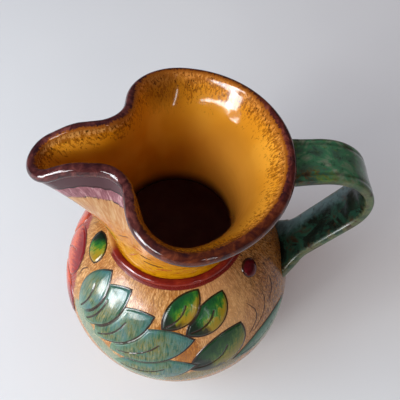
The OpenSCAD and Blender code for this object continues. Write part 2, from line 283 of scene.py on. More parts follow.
class Look:
    """A material, and the nodes that make its colour, gloss and relief."""

    def __init__(self, name, roughness, coat=0.1, specular=0.22):
        self.material = bpy.data.materials.new(name)
        self.material.use_nodes = True
        self.tree = self.material.node_tree
        self.sockets = self.tree.nodes["Principled BSDF"].inputs
        self.sockets["Roughness"].default_value = roughness
        self.sockets["Coat Weight"].default_value = coat
        self.sockets["Coat Roughness"].default_value = COAT_ROUGHNESS
        self.sockets["Specular IOR Level"].default_value = specular
        self.colour = None

    def value(self, kind, inputs, output=0, **settings):
        return Value(self, new_node(self.tree, kind, inputs, **settings).outputs[output])

    def place(self):
        """Places on the object in millimetres."""
        metres = new_node(self.tree, "TexCoord", {}).outputs["Object"]
        scaled = {0: metres, "Scale": 1 / MM}
        return new_node(self.tree, "VectorMath", scaled, operation="SCALE").outputs[0]

    def __getitem__(self, name):
        """A field of the piece."""
        return self.value("Attribute", {}, "Fac", attribute_name=name)

    def vector(self, name):
        return new_node(self.tree, "Attribute", {}, attribute_name=name).outputs["Vector"]

    def noise(self, scale, detail=3.0, roughness=0.55, distortion=0.0, stretch=None, on=None):
        """A noise over places on the object or over other vectors."""
        on = on or self.place()
        if stretch:
            on = self.value("VectorMath", {0: on, 1: stretch}, operation="MULTIPLY")
        inputs = {"Vector": on, "Scale": scale, "Detail": detail, "Roughness": roughness}
        return self.value("TexNoise", {**inputs, "Distortion": distortion})

    def distance(self, point):
        return self.value("VectorMath", {0: self.place(), 1: point}, "Value", operation="DISTANCE")

    def over(self, share, colour):
        """Lays a share of a colour over the look's colour so far."""
        colour = rgb(colour) if isinstance(colour, str) else colour
        inputs = {0: share, 6: self.colour, 7: colour}
        self.colour = new_node(self.tree, "Mix", inputs, data_type="RGBA").outputs[2]

    def done(self, height, depth, roughness=None):
        """Sets colour, relief of a depth in millimetres and, where it varies, roughness."""
        bump = new_node(self.tree, "Bump", {"Distance": depth * MM, "Height": height})
        put(self.tree, self.colour, self.sockets["Base Color"])
        put(self.tree, bump.outputs[0], self.sockets["Normal"])
        if roughness:
            put(self.tree, roughness, self.sockets["Roughness"])
        return self.material


# Materials
def plain_look(name, roughness, scale, places, codes, depth, detail=3, outlined=False, **gloss):
    """A look with one noise for colour and relief."""
    look = Look(name, roughness, **gloss)
    grain = look.noise(scale, detail)
    look.colour = grain.ramp(places, codes)
    if outlined:
        add_lines(look)
    return look.done(grain, depth)


FLOWER_SPOT = belly_spot(FLOWER_ANGLE, FLOWER_DROP)
LIGHT_SPOT = belly_spot(LIGHT_ANGLE, LIGHT_DROP)


def red_collar(look):
    """Where the collar is painted red: not below the spout."""
    return look.distance(BARE_COLLAR).step(14, 19)


def belly_look():
    look = Look("belly_glaze", 0.24)
    brush = look.vector("brush")
    hatch = look.noise(0.8, 4, 0.62, 1.4, stretch=(1, 1, 0.3), on=brush)
    cross = look.noise(0.36, 4, 0.6, 1.2, stretch=(1, 1, 0.55), on=brush)
    broad = look.noise(0.06)
    look.colour = broad.ramp((0.36, 0.48, 0.64), "a65a18 ac6f30 bd8b4e")
    look.over(0.62, hatch.ramp((0.39, 0.49, 0.585), "58300c a2682a d4a874"))
    look.over(cross.step(0.54, 0.7, 0.55), "78400c")
    look.over(look.distance(LIGHT_SPOT).step(34, 14, 0.34), "dcae7c")
    # Painted shade: the ground darkens towards the handle, the side away from the lamps; the dense dark
    # hatching there is real brushwork.
    shaded_side = look["toward_handle"].step(0.52, 0.92)
    look.over(shaded_side * 0.3, "804604")
    dark_hatch = hatch.step(0.56, 0.4) * cross.step(0.42, 0.6)
    fur = look.noise(1, 3, 0.7, 1.2, stretch=(1, 1, 0.28), on=brush).step(0.46, 0.39, 0.95)
    look.over(shaded_side * (dark_hatch * 0.9).at_least(fur), "361a06")
    washes = {
        "orange": (7, hatch.ramp((0.4, 0.6), "7e450e a8681e"), 0.85),
        "olive": (7.5, hatch.ramp((0.4, 0.6), "51542d 727148"), 0.8),
        "teal": (7.5, hatch.ramp((0.38, 0.5, 0.62), "4d6955 728974 919b7f"), 0.9),
        "bloom": (45, hatch.ramp((0.4, 0.6), "7d2323 a33d24"), 1),
    }
    for field, (width, paint, strength) in washes.items():
        reach = look[field].vary(hatch, 7)
        look.over(reach.step(width + 1.5, width - 1.5, strength), paint)
    band = look["collar"].vary(hatch, 1.2).step(2, 1.4)
    look.over(band * red_collar(look), "6a1a14")
    return look.done(hatch, 0.08, hatch.step(0.35, 0.65, 0.2, 0.3))


def clay_look():
    look = Look("bare_clay", 0.85, coat=0)
    grain = look.noise(1.4, 6, 0.7)
    look.colour = look.noise(0.06).ramp((0.3, 0.7), "9c6a45 c08e63")
    look.over(0.5, grain.ramp((0.3, 0.7), "8f5f3d cd9f75"))
    return look.done(grain, 0.12)


def lay_inner_ochre(look):
    """Ochre glaze of the mouth's inside, with painted light on the handle side and brown flecks that thin
    out below the crest.
    """
    place, down, spout = look.vector("skin"), look["down"], look["round"]
    broad = look.noise(0.03, 2, 0.5, on=place)
    look.colour = broad.ramp((0.32, 0.5, 0.68), "c0760e cc8416 da962a")
    # Painted light: the inner wall on the handle side, which the window lights, is lightened, more so lower
    # down.
    look.over(spout.step(0.6, 0.16, 0.85) * down.step(12, 42, 1, 0.25), "f0a23a")
    strokes = look.noise(0.8, 4, 0.66, 0.5, stretch=(1, 1, 0.42), on=place)
    specks = look.noise(0.85, 3, 0.6, 0.4, stretch=(1, 1, 0.7), on=place)
    blots = look.noise(0.09, 3, 0.6, on=place)
    look.over(down.vary(blots, 9).step(10, 2, 0.6), "c4844a")
    lip = spout.step(0.66, 0.8) * down.vary(strokes, 9).step(8, 5)
    look.over(lip * 0.6, "d2a05c")
    near = down.vary(blots, 26).step(30, 0)
    few = near.step(0.03, 0.3)
    brown = (strokes - near.step(0, 1, 0.46, 0.66)).step(-0.02, 0.07)
    look.over(brown * few * 0.8, "8a4c10")
    dark = (specks - near.step(0, 1, 0.58, 0.72)).step(-0.01, 0.05)
    look.over(dark * few * 0.85, "41200a")
    smudge = look.distance(SMUDGE_SPOT).vary(strokes, 26)
    look.over(smudge.step(17, 6, 0.42), "5a3208")
    return strokes, broad


def neck_look():
    look = Look("neck_glaze", 0.09)
    soft = lay_inner_ochre(look)[1]
    place, up, down, spout = look.vector("skin"), look["up"], look["down"], look["round"]
    # Darker towards the throat: partly a dark glaze, partly painted shade of the deep inside.
    look.over(up.step(0.2, 0), "2a1109")
    within = look.colour
    strokes = look.noise(0.55, 4, 0.6, 0.5, stretch=(1, 1, 0.22), on=place)
    slant = look.noise(0.4, 4, 0.62, 1, stretch=(0.45, 0.45, 1.5))
    look.colour = slant.ramp((0.36, 0.48, 0.64), "975603 b87b06 c79111")
    orange = slant.ramp((0.36, 0.48, 0.64), "97520f b26a17 c18530")
    look.over(up.vary(slant, 0.4).step(0.24, 0.44), orange)
    cream = strokes.ramp((0.38, 0.52, 0.66), "a26e40 b08152 bb976c")
    look.over(up.vary(strokes, 0.3).step(0.36, 0.62) * spout.step(0.52, 0.72), cream)
    red = slant.step(0.58, 0.68) * up.step(0.6, 0.2)
    look.over(red * 0.75, "a2401a")
    pulled = spout.step(0.52, 0.74)
    under = down.vary(look.noise(0.12, on=place), 4)
    past_mauve = (under - pulled * 17).vary(strokes, 4)
    past_brown = under - pulled * 8
    mauve = strokes.ramp((0.38, 0.52, 0.66), "6f4048 8e5b63 b18d8e")
    look.over(past_mauve.step(0.8, -0.8), mauve)
    look.over(past_brown.step(0.5, -0.5), "47292e")
    rule = abs(past_brown).step(0.75, 0.35)
    edge = abs(past_mauve).step(0.7, 0.2) * slant.step(0.46, 0.56)
    look.over(rule.at_least(edge) * spout.step(0.58, 0.72), "341418")
    look.over(look["inside"], within)
    return look.done(soft, 0.1)


def rim_look():
    look = Look("rim_glaze", 0.08)
    flecks = lay_inner_ochre(look)[0]
    within = look.colour
    place, spout = look.vector("skin"), look["round"]
    mottle = look.noise(0.22, 4, 0.62, 0.8, on=place)
    blots = look.noise(0.1, 3, 0.6, 0.6, stretch=(1, 1, 2), on=place)
    look.colour = mottle.ramp((0.34, 0.5, 0.66), "361614 4e2214 6e361c")
    cool = mottle.ramp((0.34, 0.5, 0.66), "321618 4a2424 6a3a36")
    wine = mottle.ramp((0.34, 0.5, 0.66), "3a181a 582422 7a4038")
    look.over(spout.step(0.4, 0.66), cool)
    look.over(spout.step(0.24, 0.1, 0.8), wine)
    look.over(blots.step(0.5, 0.66, 0.7), "24121a")
    brown = look.colour
    far_rim = look.distance(FAR_RIM).step(50, 28, 2)
    limit = look["down"].vary(flecks, 6) + far_rim
    look.colour = within
    look.over(limit.step(4.5, 2.2), "8a4c14")
    look.over(limit.step(2.6, 1.4), brown)
    return look.done(mottle, 0.05)


def bead_look():
    look = Look("bead_glaze", 0.14)
    streak = look.noise(0.16, 4, 0.6, stretch=(1, 1, 2))
    look.colour = streak.ramp((0.36, 0.64), "9c5e26 b8844a")
    look.over(red_collar(look), streak.ramp((0.3, 0.52, 0.72), "5a120c 741d11 8c301a"))
    return look.done(streak, 0.08)


def handle_look():
    look = Look("handle_glaze", 0.16)
    across, outer, run = look["across"], look["outer"], look["run"]
    broad = look.noise(0.075, 4, 0.6, 0.8)
    fine = look.noise(0.35, 5, 0.65, 0.4)
    patch = look.noise(0.13, 4, 0.65, 0.4)
    look.colour = rgb("1c2e24")
    olive = patch.ramp((0.38, 0.47, 0.55, 0.64), "22382a 4c5434 62623f 38301c")
    look.over(run.step(0.1, 0.24), olive)
    trim = look.colour
    look.colour = broad.ramp((0.34, 0.46, 0.55, 0.66), "0a0f0d 121e19 1a3c30 2a1c13")
    look.over(outer, broad.ramp((0.34, 0.45, 0.54, 0.66), "2f4034 405f4d 3d7452 798470"))
    sheen = across.vary(broad, 1.2).step(0.1, 0.8, 0.8) - outer
    look.over(sheen.at_least(0), "5c767c")
    border = abs(across).vary(fine, 0.5)
    look.over(border.step(0.8, 0.98, 0.75), trim)
    look.over(patch.step(0.57, 0.68, 0.5), "452a16")
    look.over(outer * patch.step(0.44, 0.34, 0.5), "55702e")
    front = across.vary(patch, 0.8).step(-0.3, -0.65) * run.step(0.26, 0.12)
    front = front * outer * fine.step(0.47, 0.57, 0.75)
    look.over(front, patch.ramp((0.4, 0.52, 0.62), "6c7a2c 74501e 5c2c18"))
    look.over(fine.step(0.53, 0.7, 0.6), "0e1e18")
    look.over(look["groove"].step(0.2, 0.9, 0.4), "142016")
    return look.done(fine, 0.1, border.step(0.72, 0.95, 0.34, 0.16))


def add_lines(look, faint=0.9, start=-2, strength=1):
    """A dark incised outline, fainter above and at the base, and a dark vein."""
    grain = look.noise(0.5)
    edge = look["edge"].vary(grain, 0.6).step(1.05, 0.65)
    edge = edge * look["across"].step(0.15, 0.75, faint, 0.92)
    edge = edge * look["along"].step(start - 0.15, start + 0.25)
    vein = look["vein"].vary(grain, 0.6).step(0.8, 0.4, 0.92)
    look.over(edge.at_least(vein) * strength, "2c140a")


def teal_look():
    look = Look("teal_slip", 0.2)
    flat, along = look.vector("flat"), look["along"]
    streak = look.noise(0.9, 5, 0.65, 0.4, stretch=(1, 0.1, 1), on=flat)
    fine = look.noise(2, 3, 0.6, 0.3, stretch=(1, 0.16, 1), on=flat)
    broad = look.noise(0.085, 4, 0.6, 0.6)
    look.colour = broad.ramp((0.36, 0.46, 0.56, 0.66), "1b4737 315f4c 427063 3a686e")
    warm = streak.ramp((0.34, 0.44, 0.51, 0.57, 0.64, 0.72), "0f2e1d 325235 776a2a 49685d 95864c 57421e")
    middle = look["edge"].step(0.8, 6, 0.95, 0.4)
    look.over(middle * broad.step(0.66, 0.42, 1, 0.45), warm)
    tip = along.vary(streak, 0.7).step(0.25, 0.95, 0.65)
    look.over(tip, fine.ramp((0.38, 0.6), "24565a 4c7c80"))
    look.over(along.vary(streak, 0.5).step(-0.5, -0.95, 0.55), "688363")
    look.over(fine.step(0.56, 0.7, 0.45), "173a2c")
    # Painted sheen: the leaves near the flower, which face the window, are lightened towards pale
    # blue-grey.
    look.over(look.distance(FLOWER_SPOT).step(66, 48, 0.34), "9ab4b0")
    add_lines(look, 0.45, -0.75)
    return look.done(streak, 0.12)


def green_look(name, shades, dark):
    look = Look(name, 0.18)
    streak = look.noise(0.8, 5, 0.65, 0.5, stretch=(1, 0.14, 1), on=look.vector("flat"))
    blots = look.noise(0.16, 4, 0.6, 0.8)
    side = look["across"].vary(streak, 1.2).vary(blots, 1.6)
    look.colour = side.step(-1, 1).ramp((0.08, 0.34, 0.52, 0.74, 0.95), shades)
    base = look["along"].vary(blots, 0.9).step(-0.22, -0.55, 0.95)
    look.over(base, dark)
    look.over(streak.step(0.56, 0.68, 0.4), dark)
    add_lines(look, 0.8)
    return look.done(streak, 0.12, base.step(0, 0.9, 0.32, 0.18))


def petal_look():
    look = Look("petal_slip", 0.18)
    streak = look.noise(0.6, 4, 0.6, 0.4, stretch=(0.15, 1, 1), on=look.vector("flat"))
    along = look["along"].vary(streak, 1.2).step(-1, 1)
    look.colour = along.ramp((0.05, 0.35, 0.6, 0.8, 1), "cd5f17 c33e13 c94c19 8f211b 721b1e")
    add_lines(look, strength=0.5)
    return look.done(streak, 0.1)


BELLY, CLAY, NECK, RIM = belly_look(), clay_look(), neck_look(), rim_look()
BEAD, HANDLE, TEAL, PETAL = bead_look(), handle_look(), teal_look(), petal_look()
GREEN = green_look("green_slip", "917319 857c20 407021 205a24 164324", "0a140c")
PALE = green_look("pale_green_slip", "86987c 809c84 688e78 58806c 48705e", "42604f")
DEEP = green_look("deep_green_slip", "7a6c1c 686822 3c5824 22461f 18361f", "0b160d")
EYE = plain_look("eye_slip", 0.2, 0.6, (0.35, 0.55, 0.7), "b8721c dca03a e8bc5c", 0.2, outlined=True)
BERRY = plain_look("berry_slip", 0.12, 0.3, (0.3, 0.6, 0.75), "38070b 560e16 6a1920", 0.08,
                   detail=4, outlined=True)
INSIDE = plain_look("inner_glaze", 0.16, 0.05, (0.3, 0.7), "9a6058 b07468", 0.2)
LINE = plain_look("incised_line", 0.4, 0.8, (0.3, 0.7), "2a140a 4d2a16", 0.05, coat=0)
RED_STROKE = plain_look("red_stroke", 0.25, 0.5, (0.3, 0.7), "8a3018 b4552a", 0.05, coat=0.4)
TABLE = plain_look("pale_table", 0.55, 0.004, (0.3, 0.7), "e1e5ea e6eaee", 0.02,
                   detail=2, coat=0, specular=0)


# Belly: turned shell, a little uneven, with bare clay underneath and rosy glaze inside
BELLY_SIDES = 288
BELLY_OUT_ROWS, BELLY_IN_ROWS = 150, 70
DISC_SHARES = (0.985, 0.9, 0.6, 0.3, 0.02)
SEAT_INSET = 0.5
SMOOTH_ROWS = 2
BELLY_DENT = 0.16
WASH_STEPS = 50

# Washes of thin colour: a route of angle round and drop from the bead; each is mirrored at the flower
WASHES = {
    "bloom": [(FLOWER_ANGLE, FLOWER_DROP), (FLOWER_ANGLE, FLOWER_DROP + 0.1)],
    "teal": [(209.5, 40), (216, 43.5), (224.5, 47), (234, 51.5), (244, 56), (256, 59)],
    "olive": [(262, 58), (272, 56), (283, 54), (295, 52)],
    "orange": [(261, 23), (268, 27), (274, 32), (273, 37)],
}


def smooth_route(points, count):
    """A curve through the points, as the given count of places."""
    points = np.asarray(points, float)
    t = np.linspace(0, len(points) - 1, count)
    padded = np.vstack([2 * points[0] - points[1], points, 2 * points[-1] - points[-2]])
    i = np.minimum(t.astype(int), len(points) - 2)
    f = (t - i)[:, None]
    p0, p1, p2, p3 = padded[i], padded[i + 1], padded[i + 2], padded[i + 3]
    square = (2 * p0 - 5 * p1 + 4 * p2 - p3) * f ** 2
    cube = (3 * p1 - p0 - 3 * p2 + p3) * f ** 3
    return 0.5 * (2 * p1 + (p2 - p0) * f + square + cube)


def ball_rows(r, start, end, count, kind):
    """Radius, height and number of the look along a ball, between two heights."""
    angles = [asin((z - BELLY_Z) / r) for z in (start, end)]
    return [(r * cos(a), BELLY_Z + r * sin(a), kind) for a in np.linspace(*angles, count)]


def build_belly():
    floor_z = FOOT_H + FLOOR_T
    out = ball_rows(BELLY_R, SEAT_Z, FOOT_H, BELLY_OUT_ROWS, 0)
    into = ball_rows(BELLY_IN_R, floor_z, SEAT_Z, BELLY_IN_ROWS, 1)
    under = [(out[-1][0] * share, FOOT_H, 2) for share in DISC_SHARES]
    floor = [(into[0][0] * share, floor_z, 1) for share in DISC_SHARES[::-1]]
    seat = [(THROAT_R + SEAT_INSET, SEAT_Z, 1), (out[0][0] - SEAT_INSET, SEAT_Z, 0)]
    rows = out + under + floor + into + seat
    r, z, kinds = np.array(rows).T[..., None]
    around = full_turn(BELLY_SIDES)
    points = polar(r, around, z)
    middle = np.array([0, 0, BELLY_Z])
    spread = points - middle
    distance = np.linalg.norm(spread, axis=-1, keepdims=True)
    uneven = np.zeros((len(rows), 1))
    uneven[SMOOTH_ROWS:BELLY_OUT_ROWS - SMOOTH_ROWS] = 1
    shrink = (BELLY_DENT * dents(points) * uneven)[..., None]
    points = middle + spread * (1 - shrink / distance)
    height = np.arcsin(np.clip((z - BELLY_Z) / BELLY_R, -1, 1))
    faces = grid_faces(len(rows), BELLY_SIDES, True, True)
    kinds = np.repeat(kinds, BELLY_SIDES)
    fields = {
        "brush": polar(BELLY_R, around, BELLY_R * height),
        "toward_handle": np.cos(around),
        "collar": BELLY_R * (radians(BEAD_ANGLE) - height),
    }
    for name, route in WASHES.items():
        route = smooth_route(route, WASH_STEPS)
        both = np.vstack([route, route * [-1, 1] + [2 * FLOWER_ANGLE, 0]])
        outs = np.array([belly_axes(*place, 0)[:, 0] for place in both])
        near = np.max(spread @ outs.T, axis=-1) / distance[..., 0]
        fields[name] = BELLY_R * np.arccos(np.clip(near, -1, 1))
    looks = [BELLY, INSIDE, CLAY]
    make_piece("belly_shell", points, faces, looks, ["belly"], fields, face_looks=kinds)


build_belly()


# Rim in plan, from the handle round to the spout's tip and back on the other side
RIM_STEPS = (44, 20, 6, 16, 12, 18)
LIFT_SHARES = (0.4, 0.78)
DROOP_START_SHARE = 0.84
PULL_SHARES = (0.45, 0.75)


def arc(center, r, start, end, steps):
    a = np.linspace(start, end, steps, endpoint=False)
    return center + r * np.column_stack([np.cos(a), np.sin(a)])


def straight(start, end, steps):
    t = np.linspace(0, 1, steps, endpoint=False)[:, None]
    return start + t * (end - start)


def half_rim():
    mouth = np.array([MOUTH_SETBACK, 0.0])
    tip = np.array([TIP_R - SPOUT_REACH, 0.0])
    way = direction(SPOUT_TAPER)
    out = np.array([-way[1], way[0]])
    side = (SPOUT_REACH - TIP_R - PINCH_X - PINCH_R - (TIP_R + PINCH_R) * out[0]) / way[0]
    side_start = tip + TIP_R * out + side * way
    pinch = side_start + PINCH_R * out
    wall_way = direction(PINCH_SLANT)[::-1]
    wall_in = np.array([wall_way[1], -wall_way[0]])
    wall_start = pinch + PINCH_R * wall_in
    from_mouth = wall_start + LOBE_R * wall_in - mouth
    lead = from_mouth @ wall_way
    wall = sqrt(lead ** 2 - from_mouth @ from_mouth + (MOUTH_R - LOBE_R) ** 2) - lead
    wall_end = wall_start + wall * wall_way
    lobe = wall_end + LOBE_R * wall_in
    lobe_angle = atan2(lobe[1], lobe[0] - MOUTH_SETBACK)
    n = RIM_STEPS
    return np.vstack([
        arc(mouth, MOUTH_R, 0, lobe_angle, n[0]),
        arc(lobe, LOBE_R, lobe_angle, pi - PINCH_SLANT, n[1]),
        straight(wall_end, wall_start, n[2]),
        arc(pinch, PINCH_R, -PINCH_SLANT, SPOUT_TAPER - pi / 2, n[3]),
        straight(side_start, tip + TIP_R * out, n[4]),
        arc(tip, TIP_R, pi / 2 + SPOUT_TAPER, pi, n[5]),
        [[-SPOUT_REACH, 0.0]],
    ])


HALF = half_rim()
steps = np.linalg.norm(np.diff(HALF, axis=0), axis=1)
HALF_SHARES = np.concatenate([[0], np.cumsum(steps)]) / steps.sum()
RIM_LINE = np.vstack([HALF, HALF[-2:0:-1] * [1, -1]])
ROUND = np.concatenate([HALF_SHARES, HALF_SHARES[-2:0:-1]])
SIDE = np.where(RIM_LINE[:, 1] >= 0, 1.0, -1.0)
COLLAR = COLLAR_MID_R * np.column_stack([np.cos(pi * ROUND), SIDE * np.sin(pi * ROUND)])
PULL = ease(*PULL_SHARES, ROUND)
DROOP = (SPOUT_LIFT + SPOUT_DROOP) * ease(DROOP_START_SHARE, 1, ROUND)
HEIGHTS = RIM_Z + SPOUT_LIFT * ease(*LIFT_SHARES, ROUND) - DROOP


def beside(line, distance):
    """A closed line in plan, moved outwards by a distance."""
    along = unit(np.roll(line, -1, axis=0) - np.roll(line, 1, axis=0))
    return line + np.column_stack([along[:, 1], -along[:, 0]]) * np.reshape(distance, (-1, 1))


LIP_LINE = beside(RIM_LINE, -RIM_H * tan(LIP_LEAN) * (1 - PULL))


def neck_ring(t, side):
    """Ring of the neck at share t of its height, outside for side 1, inside for -1."""
    power = FLARE_POWER + PULL * (SPOUT_POWER - FLARE_POWER)
    w = np.power(max(0, t - COLLAR_SHARE) / (1 - COLLAR_SHARE), power)[:, None]
    line = beside((1 - w) * COLLAR + w * LIP_LINE, side * (NECK_WALL + t * (LIP_WALL - NECK_WALL)) / 2)
    return np.column_stack([line, SEAT_Z + t * (HEIGHTS - RIM_H - SEAT_Z)])


# Neck and rim: a lofted funnel and a rolled lip that share one smooth inner face
NECK_LEVELS = 44
LEVELS = np.linspace(0, 1, NECK_LEVELS)
INNER_STEPS = 130
INNER_BLUR = 8
SEAM = 16
ROLL_START, ROLL_END = radians(-50), radians(140)
ROLL_STEPS, CREST_STEPS = 24, 12
NECK_DENT, RIPPLE, RIPPLE_TURN = 0.3, 0.014, 1.15
LIP_DENT = 0.22
LOOP = np.linalg.norm(np.roll(RIM_LINE, -1, axis=0) - RIM_LINE, axis=1)
AROUND = 2 * pi * np.concatenate([[0], np.cumsum(LOOP)[:-1]]) / LOOP.sum()
SKIN_R = LOOP.sum() / (2 * pi)


def lip_ring(a):
    """A ring of the rolled lip at angle a of its section, from zero outside."""
    line = beside(RIM_LINE, RIM_PROUD / 2 + (LIP_WALL + RIM_PROUD) / 2 * cos(a))
    return np.column_stack([line, HEIGHTS - RIM_H + (1 + sin(a)) * RIM_H / 2])


def wavy(rings):
    """Unevenness and throwing rings of the neck's walls."""
    return NECK_DENT * dents(rings * 0.8) + RIPPLE * np.sin(rings[..., 2] * RIPPLE_TURN + 2 * ROUND)


def skin(down):
    """Places on the wall unrolled: round the mouth, and down from the crest."""
    return polar(SKIN_R, AROUND, down)


LIP_DIP = LIP_DENT * dents(lip_ring(pi / 2) * 0.6 + 40)


def inner_face():
    """Rings of the inside from crest to collar, and how far each place is from the crest."""
    rings = [lip_ring(a) for a in np.linspace(pi / 2, ROLL_END, CREST_STEPS)]
    rings = np.array(rings + [neck_ring(t, -1) for t in np.linspace(1, 0, NECK_LEVELS)])
    gone = np.cumsum(np.linalg.norm(np.diff(rings, axis=0), axis=2), axis=0)
    gone = np.vstack([np.zeros(len(ROUND)), gone])
    share = np.linspace(0, 1, INNER_STEPS)
    down = share[:, None] * gone[-1]
    even = np.empty((INNER_STEPS, len(ROUND), 3))
    for j in range(len(ROUND)):
        for axis in range(3):
            even[:, j, axis] = np.interp(down[:, j], gone[:, j], rings[:, j, axis])
    reach = 3 * INNER_BLUR
    kernel = np.exp(-0.5 * (np.arange(-reach, reach + 1) / INNER_BLUR) ** 2)
    kernel /= kernel.sum()
    padded = np.concatenate([2 * even[:1] - even[reach:0:-1], even, 2 * even[-1:] - even[-2:-reach - 2:-1]])
    soft = sum(part * padded[i:i + INNER_STEPS] for i, part in enumerate(kernel))
    face = even + (soft - even) * ease(0.015, 0.13, share)[:, None, None]
    amount = wavy(face) * (ease(0.03, 0.12, share) * ease(1.0, 0.95, share))[:, None]
    for ring, out in zip(face, amount):
        ring[:, :2] = beside(ring[:, :2], out)
    face[..., 2] -= LIP_DIP * ease(0.12, 0.0, share)[:, None]
    return face, down


FACE, DOWN = inner_face()


def outer_wall():
    outer = np.array([neck_ring(t, 1) for t in LEVELS])
    amount = wavy(outer) * (ease(0, 0.12, LEVELS) * ease(1.0, 0.9, LEVELS))[:, None]
    for ring, into in zip(outer, amount):
        ring[:, :2] = beside(ring[:, :2], -into)
    return outer


NECK_OUTER = outer_wall()


def build_neck():
    below = np.linalg.norm(np.diff(NECK_OUTER[::-1], axis=0), axis=2)
    below = np.vstack([np.zeros(len(ROUND)), np.cumsum(below, axis=0)])[::-1]
    inner = FACE[SEAM:]
    up = np.clip((inner[..., 2] - SEAT_Z) / (HEIGHTS - RIM_H - SEAT_Z), 0, 1)
    rings = np.concatenate([NECK_OUTER, inner])
    down = np.concatenate([below, DOWN[SEAM:]])
    fields = {
        "up": np.concatenate([LEVELS[:, None] + 0 * below, up]),
        "inside": np.repeat([0.0, 1.0], [NECK_LEVELS, len(inner)])[:, None],
        "down": down,
        "round": ROUND,
        "skin": skin(down),
    }
    faces = grid_faces(*rings.shape[:2], True, True)
    make_piece("neck_wall", rings, faces, [NECK], ["neck_funnel"], fields)


def build_rim():
    foot = np.column_stack([beside(LIP_LINE, LIP_WALL / 2), HEIGHTS - RIM_H])
    rolled = [lip_ring(a) for a in np.linspace(ROLL_START, pi / 2, ROLL_STEPS)[:-1]]
    outer = np.array([foot, (2 * foot + rolled[0]) / 3, (foot + 2 * rolled[0]) / 3] + rolled)
    outer[..., 2] -= LIP_DIP * ease(0, 1, np.linspace(0, 1, len(outer)))[:, None]
    rings = np.concatenate([outer, FACE[:SEAM + 1]])
    over = np.linalg.norm(np.diff(rings[:len(outer) + 1], axis=0), axis=2)
    over = -np.cumsum(over[::-1], axis=0)[::-1]
    down = np.concatenate([over, DOWN[:SEAM + 1]])
    fields = {"down": down, "round": ROUND, "skin": skin(down)}
    faces = grid_faces(*rings.shape[:2], True, True)
    make_piece("rolled_rim", rings, faces, [RIM], ["rim_roll"], fields)


build_neck()
build_rim()


# Handle: a pulled strap that leaves the neck level, bends over and runs down to the belly
STRAP_POINTS = 96
STRAP_CORNER = 0.55
TOP_SPREAD = 1.12
LOW_SPREAD = 1.45
GROOVE_AT, GROOVE_W, GROOVE_D = 0.7, 0.09, 0.35
SEAT_GAP = 0.05
TOP_RINGS, BEND_RINGS, LOW_RINGS = 16, 60, 40
END_SHARES = (0.05, 0.5, 0.85, 1.0)
END_RINGS = 6
STRAP_DENT = 0.06


